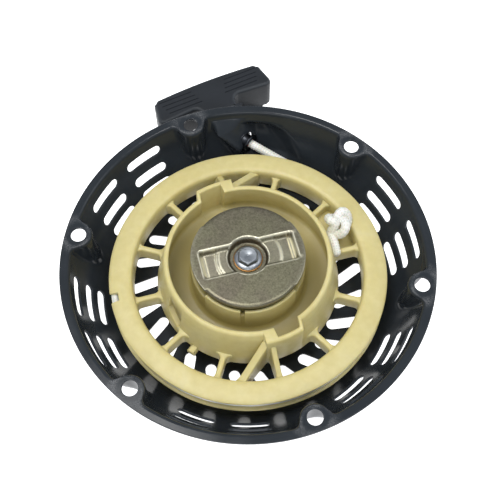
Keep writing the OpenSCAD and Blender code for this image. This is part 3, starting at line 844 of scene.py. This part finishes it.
def build_reel():
    reel = Parts()
    reel.add(*ring_solid(ring_columns()))
    reel.add(*ring_solid(drum_columns()))
    spoke = rib_outline(50.4, RING_BORE_R + 0.3, 3.1, 3.0)
    for k in range(12):
        reel.add(*prism(turned(spoke, SPOKE_TURN + 30 * k), SPOKE_FOOT, -17, 1.1))
    for half in (0, 180):
        for (inner, outer), r, past, width in zip(RIB_TURNS, (48.4, 48.8), (1.4, 1.0), (3.9, 2.9)):
            end = polar(RING_BORE_R + past, half + outer)
            reel.add(*ramp_rib(polar(r, half + inner), end, width, -2.2, -15.8))
    # Floor of the cell that holds the knot, and a small tab at the drum's foot
    reel.add(*prism(sector_outline(49.5, 65.3, SPOKE_TURN, SPOKE_TURN + 30), -26.0, -23.5, 0.4))
    reel.add(*prism(sector_outline(50.0, 55.0, -118, -113), SPOKE_FOOT, -22.5, 1.0))
    mesh = reel.mesh("reel_moulding")
    # Painted shade: the nylon is darkened down in the drum (less towards the back wall), on the hub under the
    # plate, and in the window of the flared wall
    points = np.concatenate(reel.points)
    (turn, r), depth = polar_of(points), -points[:, 2]
    drum = (1 - step(r, 47.6, 49.0)) * step(depth, 8, 20) * (1 - 0.8 * window(turn, 40, 145, 40))
    hub = (1 - step(r, 32.5, 36)) * step(depth, 0.6, 5)
    window_shade = window(turn, *WALL_WINDOW, 0.8) * (1 - step(r, 48.4, 49.6)) * step(depth, 3, 6)
    point_values(mesh, "painted_cavity_shade", np.maximum(drum, np.maximum(hub, window_shade)))
    make_piece(mesh, NYLON, "reel", ["reel"])


# ---- clutch

PLATE_TOP = 5.0
PLATE_T = 1.8
CHANNEL_TURN = 23.5
DISC_R = 28.4                   # the rim band is lofted outside this radius
CUP_R = 10.4
RIM_STEPS = 300


def channel_floor(x, y):
    """Height of the pressed channel's stepped floor; X is along the channel."""
    r = np.hypot(x, y)
    right = 2.5 - 0.9 * step(r, 17.2, 19.4) - 0.55 * step(x, 23.4, 24.2) + 0.5 * step(x, 24.9, 25.6)
    left = 2.4 - 0.35 * step(r, 15.4, 16.4) - 0.75 * step(r, 17.0, 18.4) - 0.35 * step(-x, 22.6, 23.4)
    return np.where(x > 0, right, left)


def plate_height(x, y):
    """Top face of the drive plate; X is along the channel."""
    r = np.hypot(x, y)
    floor = channel_floor(x, y)
    ends = np.maximum(step(x, 24.6, 27.4), step(-x, 23.6, 26.4))
    sides = step(np.abs(y), 6.4, 9.0)
    lip = 1 - (1 - ends) * (1 - sides)
    channel = floor + (PLATE_TOP - floor) * lip
    cup_lip = step(r, CUP_R - 0.8, CUP_R + 1.3)
    return 0.1 + (channel - 0.1) * cup_lip


def heights_around(x, y, d):
    """Heights of the plate at a distance d on each side: right, left, back and front."""
    return [plate_height(x + i * d, y + j * d) for i, j in ((1, 0), (-1, 0), (0, 1), (0, -1))]


def edge_wear_and_highlight(x, y):
    """How much each point sticks out as an edge: 0 on the flats, 1 on the sharpest lips; this sets the lips'
    wear and painted highlight.
    """
    return np.clip((plate_height(x, y) - sum(heights_around(x, y, 0.45)) / 4) * 9.0, 0, 1)


def plate_mesh():
    pitch = 0.5
    g = np.arange(-DISC_R, DISC_R, pitch)
    x, y = (a.ravel() for a in np.meshgrid(g, g))
    y = y + 0.5 * pitch * ((np.round((x + DISC_R) / pitch).astype(int)) % 2)
    r = np.hypot(x, y)
    outer_loop = circle(DISC_R, RIM_STEPS)
    bore_loop = circle(4.05, 40)
    grid = np.stack([x, y], -1)[(r < DISC_R) & (r > 4)]
    flat, triangles, (bore, outer) = triangulated(grid, [bore_loop], pitch, outer_loop)
    height = plate_height(*flat.T)
    d = 0.05
    right, left, back, front = heights_around(*flat.T, d)
    slope_x, slope_y = (right - left) / (2 * d), (back - front) / (2 * d)
    normal = unit(np.stack([-slope_x, -slope_y, np.ones(len(flat))], -1))
    top = np.column_stack([flat, height])
    under = np.column_stack([flat, height - PLATE_T])
    n = len(flat)
    faces = [tuple(t) for t in triangles] + [tuple(n + i for i in t[::-1]) for t in triangles]
    faces += joined([bore, [n + i for i in bore]])
    # Rim: flat with a cut edge over the pawls, turned down elsewhere
    angle = np.arange(RIM_STEPS) * 360 / RIM_STEPS
    down = 1 - twice(angle + CHANNEL_TURN, *RIM_GAP, 1.6)
    # Radius, height and normal of each line round the rim
    flat_rim = [
        (30.6, 5.0, 0, 1), (31.0, 4.88, 0.5, 0.87), (31.2, 4.55, 0.94, 0.34), (31.2, 3.6, 0.94, -0.34),
        (31.0, 3.3, 0.5, -0.87), (30.6, 3.2, 0, -1), (29.4, 3.2, 0, -1)]
    bent_rim = [
        (29.8, 4.92, 0.3, 0.95), (30.4, 4.6, 0.7, 0.7), (30.8, 3.9, 0.97, 0.2), (30.85, 2.2, 0.97, -0.2),
        (30.5, 1.95, 0, -1), (29.6, 2.1, -0.7, -0.7), (29.2, 3.0, -0.9, -0.3)]
    plate = Skin([top, under], [normal, -normal])
    chain = [outer]
    for flat_line, bent_line in zip(flat_rim, bent_rim):
        r, z, lean_r, lean_z = (f + (b - f) * down for f, b in zip(flat_line, bent_line))
        chain.append(plate.ring(cylindrical(r, angle, z), unit(cylindrical(lean_r, angle, lean_z))))
    faces += joined(chain + [[n + i for i in outer]])
    points, normals = np.concatenate(plate.points), np.concatenate(plate.normals)
    points[:, :2] = turned(points[:, :2], CHANNEL_TURN)
    normals[:, :2] = turned(normals[:, :2], CHANNEL_TURN)
    mesh = make_mesh("drive_plate_pressing", points, faces, normals)
    # Lips get painted highlight and wear; the channel floor's steps get a painted highlight that grows with
    # their slope.
    wear_and_highlight = np.zeros(len(points))
    _, reach = polar_of(flat)
    channel_highlight_area = step(reach, 11.5, 13) * (1 - step(reach, 25.5, 27.0))
    channel_highlight_area = channel_highlight_area * (1 - step(np.abs(flat[:, 1]), 5.5, 7.5))
    wear_and_highlight[:n] = np.maximum(edge_wear_and_highlight(*flat.T) * step(reach, 10.2, 12),
                          channel_highlight_area * np.clip(0.1 + 1.6 * np.hypot(slope_x, slope_y), 0, 0.85))
    # Painted highlight line round the rim, strongest on the turned-down edge.
    rim_wear_and_highlight = [0.05, 0.25, 0.35, 0.1, 0.0, 0.0, 0.0]
    wear_and_highlight[2 * n:] = np.concatenate([w + (0.4 * (i == 2) - w) * down for i, w in enumerate(rim_wear_and_highlight)])
    point_values(mesh, "wear_and_highlight", wear_and_highlight)
    return mesh


def bolt_section(turn):
    """Section of the flanged bolt in one direction: its head is six-sided."""
    flat_half, corner_r = 5.0, 5.7
    reach = min(flat_half / math.cos(math.radians(nearest(turn, 60))), corner_r)
    crown = 4.5
    edge_z = PLATE_TOP - 0.1 - (reach - crown) * 0.7
    corners = [
        (0.35, -17), (2.9, -17), (2.95, -2), (4.0, -2), (4.0, 0.97), (7.6, 0.97), (7.6, 1.55), (6.3, 2.25),
        (reach + 0.1, 2.45), (reach, edge_z), (crown, PLATE_TOP), (crown - 0.5, PLATE_TOP - 0.06),
        (0.35, PLATE_TOP - 0.1)]
    return rounded(corners, [0.1, 0.3, 0.1, 0.3, 0.1, 0.25, 0.3, 0.4, 0.35, 0.25, 0.12, 0.2, 0.1], 3)


def build_clutch():
    make_piece(plate_mesh(), PLATE, "drive_plate", ["drive_plate"])
    angles = np.arange(0, 360, 3.0)
    sections = np.array([bolt_section(a) for a in angles])
    points, faces = ring_solid(turned_section(sections, angles + 8))
    bolt = Parts()
    bolt.add(points, faces)
    # Plug that closes the hair-thin bore left on the axis
    bolt.add(*prism(circle(0.6, 16), -16.9, PLATE_TOP - 0.1, 0.02, 1))
    make_piece(bolt.mesh("bolt_body"), BRIGHT, "housing", ["clamp_bolt"])
    ring = lathe(rounded([(4.1, 0.16), (8.15, 0.16), (8.15, 0.95), (4.1, 0.95)], [0.1, 0.25, 0.3, 0.1]))
    make_piece(make_mesh("copper_ring", *ring), COPPER, "housing", ["brass_washer"])


# ---- handle

HANDLE_MID = np.array([-46.5, 121.9])
HANDLE_TURN = 124.5
HANDLE_TOP, HANDLE_BOTTOM = -10.0, -32.0
HANDLE_MIDDLE_Z = (HANDLE_TOP + HANDLE_BOTTOM) / 2
STEM_END = -26.0
KNOT_SEAT = -9.2


def on_handle(points):
    """From the handle's own frame (X along the pull) to the row frame."""
    points = np.array(points, float)
    points[..., :2] = turned(points[..., :2], HANDLE_TURN) + HANDLE_MID
    return points


def handle_outline():
    half, bow = 34.0, 1.6
    bow_r = (half ** 2 + bow ** 2) / (2 * bow)
    bow_turn = math.degrees(math.asin((half - 1.6) / bow_r))
    back = arc((bow - bow_r, 0), bow_r, -bow_turn, bow_turn, 28)
    wing = rounded([
        (-0.2, half + 0.9), (-15.2, half + 3.7), (-17.6, half + 1.4), (-15.8, 13.6), (-18.4, 11.2),
        (STEM_END, 10.3)], [2.4, 2.4, 2.2, 2.6, 2.4, 1.8], 5)
    other = wing[::-1] * [1, -1]
    dense = []
    outline = np.concatenate([back, wing[2:], other[:-2]])
    for a, b in zip(outline, np.roll(outline, -1, 0)):
        n = max(1, int(np.hypot(*(b - a)) / 1.6))
        dense += [a + (b - a) * i / n for i in range(n)]
    return np.array(dense)


def handle_mesh():
    rings, ups = extruded(handle_outline(), HANDLE_BOTTOM, HANDLE_TOP, 2.0, 6)
    n = len(rings[0])
    # Top face with the grip lines sunk in it
    groove = turned(slot_shape(21.2, 0.32, 4), 90)
    grooves = [groove + [-3.1 - 3.1 * k, side * (21.8 - 1.1 * k)] for side in (-1, 1) for k in range(4)]
    border = rings[-1][:, :2]
    g = np.arange(-30, 8, 1.5)
    x, y = (a.ravel() for a in np.meshgrid(g, np.arange(-38, 38, 1.5)))
    flat, triangles, sunk = triangulated(np.stack([x, y], -1), grooves, 1.2, border)
    border_ids = sunk.pop()
    m = len(flat)
    points = [np.column_stack([flat, np.full(m, HANDLE_TOP)])] + rings[:-1]
    faces = [tuple(t) for t in triangles]
    chains = [range(m + i * n, m + (i + 1) * n) for i in range(len(rings) - 1)]
    faces += joined(chains + [border_ids])
    faces.append(tuple(chains[0]))
    count = m + n * (len(rings) - 1)
    for ring, groove in zip(sunk, grooves):
        k = len(ring)
        middle = groove.mean(0)
        bottom = middle + (groove - middle) * [0.55, 0.985]
        points.append(np.column_stack([bottom, np.full(k, HANDLE_TOP - 0.4)]))
        faces += joined([ring, range(count, count + k)])
        faces.append(tuple(range(count, count + k)))
        count += k
    points = np.concatenate(points)
    mesh = make_mesh("handle_body", on_handle(points), faces)
    wear_and_highlight = np.zeros(len(points))
    # Painted highlight, partly also wear: the top rounded edge is made lighter where it faces about three
    # quarters up.
    for chain, up in zip(chains, ups):
        wear_and_highlight[chain.start:chain.stop] = 0.36 * max(0.0, 1 - abs(up - 0.75) / 0.35)
    point_values(mesh, "wear_and_highlight", wear_and_highlight)
    return mesh


def drilled(obj, cutters):
    """Cuts round holes into a piece and applies them."""
    for r, x0, x1 in cutters:
        points, faces = prism(circle(r, 40), 0, 1, 0.01, 1)
        points = np.stack([x0 + (x1 - x0) * points[:, 2], points[:, 0], points[:, 1] + HANDLE_MIDDLE_Z], -1)
        cutter = new_object("cutter", make_mesh("cutter", on_handle(points), faces))
        cut = obj.modifiers.new("drill", "BOOLEAN")
        cut.operation, cut.solver, cut.object = "DIFFERENCE", "EXACT", cutter
        bpy.context.view_layer.update()
        done = bpy.data.meshes.new_from_object(obj.evaluated_get(bpy.context.evaluated_depsgraph_get()))
        obj.modifiers.clear()
        obj.data = done
        bpy.data.objects.remove(cutter)
    obj.data.set_sharp_from_angle(angle=math.radians(42))


def build_handle():
    grip = make_piece(handle_mesh(), GRIP, "handle", ["handle_grip"])
    drilled(grip, [(2.9, STEM_END - 2, KNOT_SEAT + 1), (6.5, KNOT_SEAT, 6)])


# ---- rope

ROPE_R = 2.15
ROPE_Z = -20.05
ROPE_STEP = 0.32                # between the rings of a rope
TANGENT = np.array([31.6, 67.5, -20.0])        # where the rope leaves the wound turns


def smooth_path(points, spacing):
    """Points at equal spacing on a smooth curve through the given ones."""
    p = np.asarray(points, float)
    p = np.concatenate([[2 * p[0] - p[1]], p, [2 * p[-1] - p[-2]]])
    curve = []
    for a, b, c, d in zip(p[:-3], p[1:-2], p[2:-1], p[3:]):
        for t in np.linspace(0, 1, 24, endpoint=False):
            curve.append(0.5 * (2 * b + (c - a) * t + (2 * a - 5 * b + 4 * c - d) * t * t
                                + (3 * b - a - 3 * c + d) * t ** 3))
    curve = np.array(curve + [p[-2]])
    length = np.concatenate([[0], np.cumsum(np.linalg.norm(np.diff(curve, axis=0), axis=1))])
    n = max(3, int(round(length[-1] / spacing)) + 1)
    at = np.linspace(0, length[-1], n)
    return np.stack([np.interp(at, length, curve[:, i]) for i in range(3)], -1)


def rope_mesh(name, path, radius, sides=32, relief=0.2, pitch=3.4, strands=5):
    """A plaited rope along a path, with both ends closed."""
    path = np.asarray(path, float)
    tangent = unit(np.gradient(path, axis=0))
    normal = unit(np.cross(tangent[0], [0, 0, 1] if abs(tangent[0][2]) < 0.9 else [1, 0, 0]))
    length = np.concatenate([[0], np.cumsum(np.linalg.norm(np.diff(path, axis=0), axis=1))])
    rings, gap_shades = [], []
    turn = np.arange(sides) * 2 * math.pi / sides
    for i, (centre, t) in enumerate(zip(path, tangent)):
        normal = unit(normal - t * np.dot(normal, t))
        side = np.cross(t, normal)
        run = 2 * math.pi * length[i] / pitch
        plait = 0.5 + 0.5 * np.sin(strands * turn + run) * np.sin(strands * turn - run)
        end = min(1.0, 0.55 + 0.45 * min(length[i], length[-1] - length[i]) / (0.5 * radius))
        r = (radius - relief + relief * plait) * end
        rings.append(centre + r[:, None] * (np.cos(turn)[:, None] * normal + np.sin(turn)[:, None] * side))
        # Painted shade where the plait sinks in between strands.
        gap_shades.append(np.clip((0.42 - plait) * 2.2, 0, 1))
    mesh = make_mesh(name, *stacked(rings))
    point_values(mesh, "gap", np.concatenate(gap_shades))
    return mesh


def wound_path():
    """Three turns in the groove, from the inside out, ending where the rope runs off to the eyelet."""
    end = math.degrees(math.atan2(TANGENT[1], TANGENT[0]))
    turns = 3
    s = np.linspace(0, turns, turns * 150 + 1)
    step_r, first_r = 3.2, 66.6 + ROPE_R
    whole = np.floor(s)
    share = step(s - whole, 0.90, 1.0)
    level = np.minimum(whole + share, turns - 1)
    r = first_r + step_r * level
    z = ROPE_Z + 1.45 * np.cos(math.pi * level)
    return cylindrical(r, end + 360 * s, z)


def build_rope():
    mesh = rope_mesh("rope_turns", wound_path(), 2.1, 14, 0.12, 5.0, 3)
    make_piece(mesh, YARN, "reel", ["rope_wound"])
    way = unit(EYELET - TANGENT)
    start, end = TANGENT + 6 * way, EYELET + 3.0 * way
    n = int(np.linalg.norm(end - start) / ROPE_STEP)
    lead = start + (end - start) * np.linspace(0, 1, n)[:, None]
    mesh = rope_mesh("rope_run", lead, radius=2.6, relief=0.36)
    make_piece(mesh, YARN, "housing", ["rope_lead"])
    # From the eyelet to the knot in the handle
    back = cylindrical(1, HANDLE_TURN, 0)
    middle = np.array([*HANDLE_MID, HANDLE_MIDDLE_Z])
    stem = middle + (STEM_END - 1.5) * back
    stops = [EYELET + 1.5 * way, EYELET + 5 * way, stem]
    stops += [middle + (STEM_END + 6) * back, middle + (KNOT_SEAT + 1.5) * back]
    path = smooth_path(stops, ROPE_STEP)
    piece = new_object("rope_pull", rope_mesh("rope_pull", path, radius=2.05, relief=0.2))
    piece.data.materials.append(YARN)
    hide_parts("handle_rope")
    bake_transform(piece)
    # Stopper knot in the reel and its loose end along the drum
    centre = np.array([46.6, 36.2, -9.6])
    t = np.linspace(0.35, 2 * math.pi - 0.3, 70)
    x, y = np.sin(t) + 2 * np.sin(2 * t), np.cos(t) - 2 * np.cos(2 * t)
    loop = 2.05 * np.stack([x, 1.15 * y, -1.5 * np.sin(3 * t)], -1)
    loop[:, :2] = turned(loop[:, :2], 20)
    tail = np.array([[42.9, 30.5, -13.2], [45.2, 25.4, -14.0], [46.9, 20.6, -14.6], [47.9, 17.4, -14.6]])
    path = smooth_path(np.concatenate([(loop + centre)[::3], tail]), ROPE_STEP)
    mesh = rope_mesh("knot_in_reel", path, radius=2.8, relief=0.36)
    make_piece(mesh, YARN, "reel", ["reel_knot"])
    # Stopper knot in the recess of the handle
    t = np.linspace(0.2, 2 * math.pi - 0.5, 70)
    y, z = np.sin(t) + 1.2 * np.sin(2 * t), np.cos(t) - 1.2 * np.cos(2 * t)
    loop = np.stack([-1.0 + 1.2 * np.sin(3 * t), 1.25 * y, 1.25 * z], -1)
    path = smooth_path(on_handle(loop[::3] + [-3.4, 0, HANDLE_MIDDLE_Z]), ROPE_STEP)
    mesh = rope_mesh("knot_in_handle", path, radius=1.75, relief=0.2)
    make_piece(mesh, YARN, "handle", ["handle_knot"])


# ---- CAD nodes that stay

def finish_cad_nodes():
    """Gives every CAD node that still shows its own material, and the grey steel ones soft edges."""
    looks = {
        GREY_STEEL: ("center_post", "thrust_washer", "handle_washer", "pawl_a", "pawl_b"),
        SPRING_STEEL: ("recoil_spring", "pawl_spring_a", "pawl_spring_b", "friction_spring")}
    for material, name in [(material, name) for material, names in looks.items() for name in names]:
        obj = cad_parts[name]
        obj.data.materials.clear()
        obj.data.materials.append(material)
        weld = obj.modifiers.new("weld", "WELD")
        weld.merge_threshold = 1e-6
        if material == GREY_STEEL:
            bevel = obj.modifiers.new("bevel", "BEVEL")
            bevel.width = 0.25 * MM
            bevel.segments = 2
            bevel.limit_method = "ANGLE"
            bevel.angle_limit = math.radians(40)


# ---- stage, light and camera

def soft_light(name, place, size, power, colour=(1, 1, 1), target=(0, 0, -0.02)):
    lamp = bpy.data.lights.new(name, "AREA")
    lamp.shape = "RECTANGLE"
    lamp.size, lamp.size_y = size
    lamp.energy = power
    lamp.color = colour
    obj = new_object(name, lamp)
    obj.location = place
    obj.rotation_euler = (Vector(place) - Vector(target)).to_track_quat("Z", "Y").to_euler()


def build_stage():
    half, z = 2.0, cad_low[2] - 0.0005
    mesh = bpy.data.meshes.new("floor")
    corners = [(-half, -half, z), (half, -half, z), (half, half, z), (-half, half, z)]
    mesh.from_pydata(corners, [], [(0, 1, 2, 3)])
    floor = new_object("floor", mesh)
    look = Surface("pale_floor")
    look.set(Base_Color=(0.9, 0.9, 0.9, 1), Roughness=0.9, Emission_Color=(1, 1, 1, 1), Emission_Strength=1.0)
    mesh.materials.append(look.material)
    world = bpy.data.worlds.new("studio")
    bpy.context.scene.world = world
    world.use_nodes = True
    sky = world.node_tree.nodes["Background"].inputs
    sky["Color"].default_value = (0.88, 0.93, 1.0, 1)
    sky["Strength"].default_value = 0.56
    soft_light("key", (-0.30, -0.04, 1.12), (0.6, 0.45), 6.9, (1, 0.99, 0.97))
    soft_light("front", (0.1, -0.85, 0.75), (0.6, 0.4), 2.2)
    soft_light("side", (0.75, 0.25, 0.85), (0.4, 0.5), 1.6, (0.96, 0.98, 1))
    soft_light("overhead", (0.28, 0.02, 1.05), (0.22, 0.16), 1.6)
    bpy.context.scene.view_settings.view_transform = "Standard"


def build_camera():
    azimuth, elevation, roll = math.radians(9.34), math.radians(63.03), math.radians(-0.11)
    distance = 0.4971
    level = math.cos(elevation)
    back = Vector((math.sin(azimuth) * level, -math.cos(azimuth) * level, math.sin(elevation)))
    data = bpy.data.cameras.new("camera")
    data.lens, data.sensor_width = 65.70, 36.0
    data.shift_x, data.shift_y = 0.0040, 0.0180
    camera = new_object("camera", data)
    camera.location = back * distance
    aim = back.to_track_quat("Z", "Y").to_matrix()
    camera.rotation_euler = (aim @ Matrix.Rotation(roll, 3, "Z")).to_euler()
    bpy.context.scene.camera = camera


build_camera()
build_stage()
build_housing()
build_reel()
build_clutch()
build_handle()
build_rope()
finish_cad_nodes()
